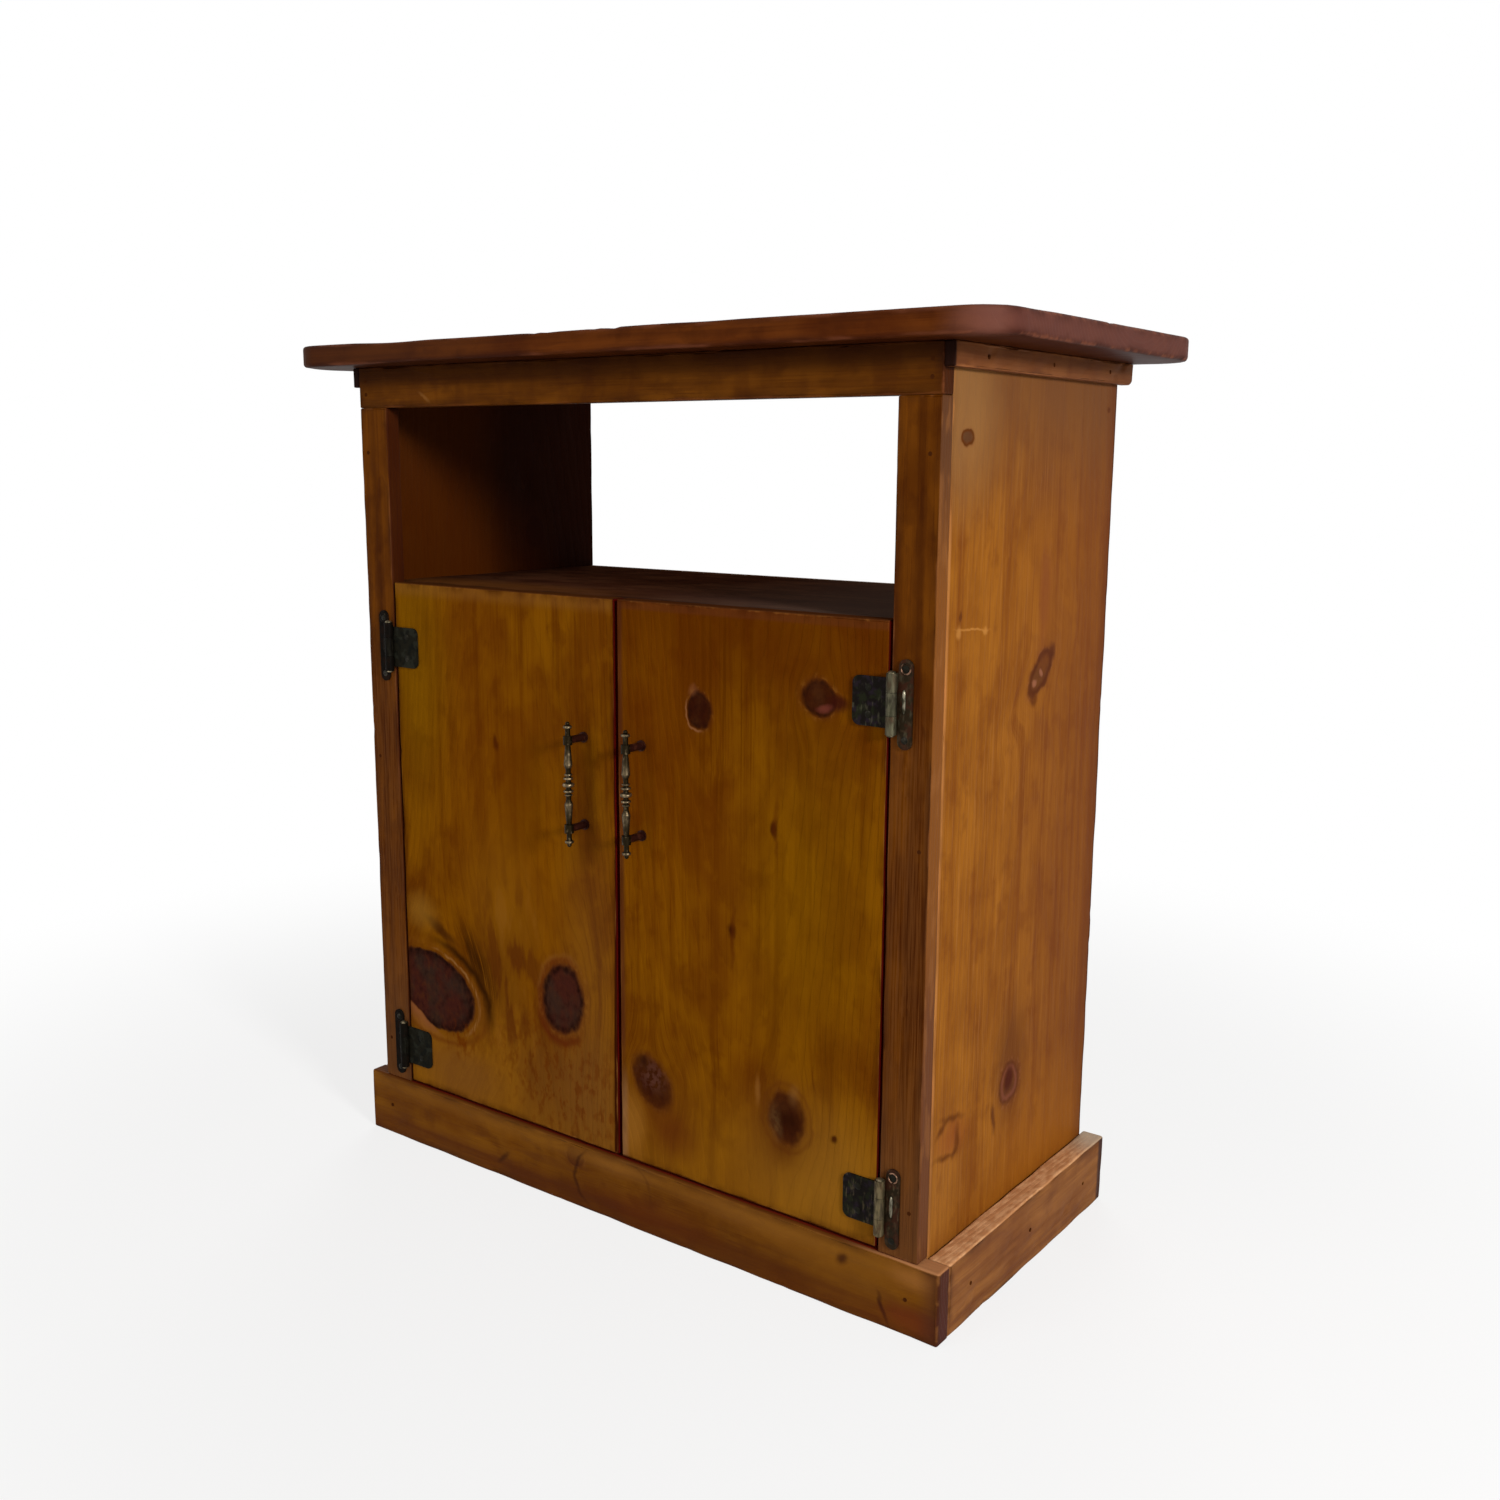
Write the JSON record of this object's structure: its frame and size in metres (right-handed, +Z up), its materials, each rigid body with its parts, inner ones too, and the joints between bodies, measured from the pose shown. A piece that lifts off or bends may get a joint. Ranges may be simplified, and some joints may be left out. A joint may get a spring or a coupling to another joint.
{
  "type": "accent cabinet",
  "caption": "Rustic pine cabinet: an open bay above a cupboard with two flush doors, under an overhanging top with rounded corners, on a low plinth.",
  "frame": {"origin": "on the floor, under the middle of the top, which is the middle of the cabinet's box", "axes": "+X to the right seen from the front, +Y to the back, +Z up; the doors face -Y"},
  "size_m": [0.73, 0.351, 0.764],
  "materials": {
    "top_pine": "satin, dark reddish stain, worn edges",
    "door_pine": "satin, honey stain, dark knots",
    "frame_pine": "satin, brown stain",
    "side_pine": "satin, amber stain",
    "plinth_pine": "satin, brown amber stain",
    "shelf_pine": "satin, dark stain",
    "batten_pine": "bare sawn",
    "back_ply": "stained plywood",
    "aged_bronze": "darkened, rubbed",
    "worn_brass": "tarnished, polished high spots",
    "dark_iron": "rusty dark",
    "steel": "zinc",
    "catch_plastic": "matte"
  },
  "bodies": {
    "cabinet": {"top": "top_pine", "front_rail": "frame_pine", "left_stile": "frame_pine", "right_stile": "frame_pine", "left_side": "side_pine", "right_side": "side_pine", "shelf": "shelf_pine", "bottom_board": "shelf_pine", "back_panel": "back_ply", "plinth_front": "plinth_pine", "plinth_left": "plinth_pine", "plinth_right": "plinth_pine", "left_moulding": "side_pine", "right_moulding": "side_pine", "left_shelf_batten": "batten_pine", "right_shelf_batten": "batten_pine", "left_bottom_batten": "batten_pine", "right_bottom_batten": "batten_pine", "left_top_batten": "batten_pine", "right_top_batten": "batten_pine", "rear_top_batten": "batten_pine", "left_upper_frame_leaf": "aged_bronze", "left_lower_frame_leaf": "aged_bronze", "right_upper_frame_leaf": "aged_bronze", "right_lower_frame_leaf": "aged_bronze", "left_upper_pin": "worn_brass", "left_lower_pin": "worn_brass", "right_upper_pin": "worn_brass", "right_lower_pin": "worn_brass", "frame_screws": "steel", "batten_screws": "steel", "finish_nails": "dark_iron", "back_nails": "steel", "left_catch": "catch_plastic", "right_catch": "catch_plastic"},
    "left_door_unit": {"left_door": "door_pine", "left_upper_door_leaf": "aged_bronze", "left_lower_door_leaf": "aged_bronze", "left_door_screws": "aged_bronze", "left_handle_bar": "worn_brass", "left_handle_posts": "dark_iron", "left_handle_screws": "steel", "left_strike": "steel"},
    "right_door_unit": {"right_door": "door_pine", "right_upper_door_leaf": "aged_bronze", "right_lower_door_leaf": "aged_bronze", "right_door_screws": "aged_bronze", "right_handle_bar": "worn_brass", "right_handle_posts": "dark_iron", "right_handle_screws": "steel", "right_strike": "steel"}
  },
  "joints": [
    {"name": "left_door_hinge", "type": "hinge", "parent": "cabinet", "child": "left_door_unit", "pos_m": [-0.272, -0.1478, 0.29625], "axis": [0, 0, -1], "range_deg": [0, 170]},
    {"name": "right_door_hinge", "type": "hinge", "parent": "cabinet", "child": "right_door_unit", "pos_m": [0.272, -0.1478, 0.29625], "axis": [0, 0, 1], "range_deg": [0, 170]}
  ]
}
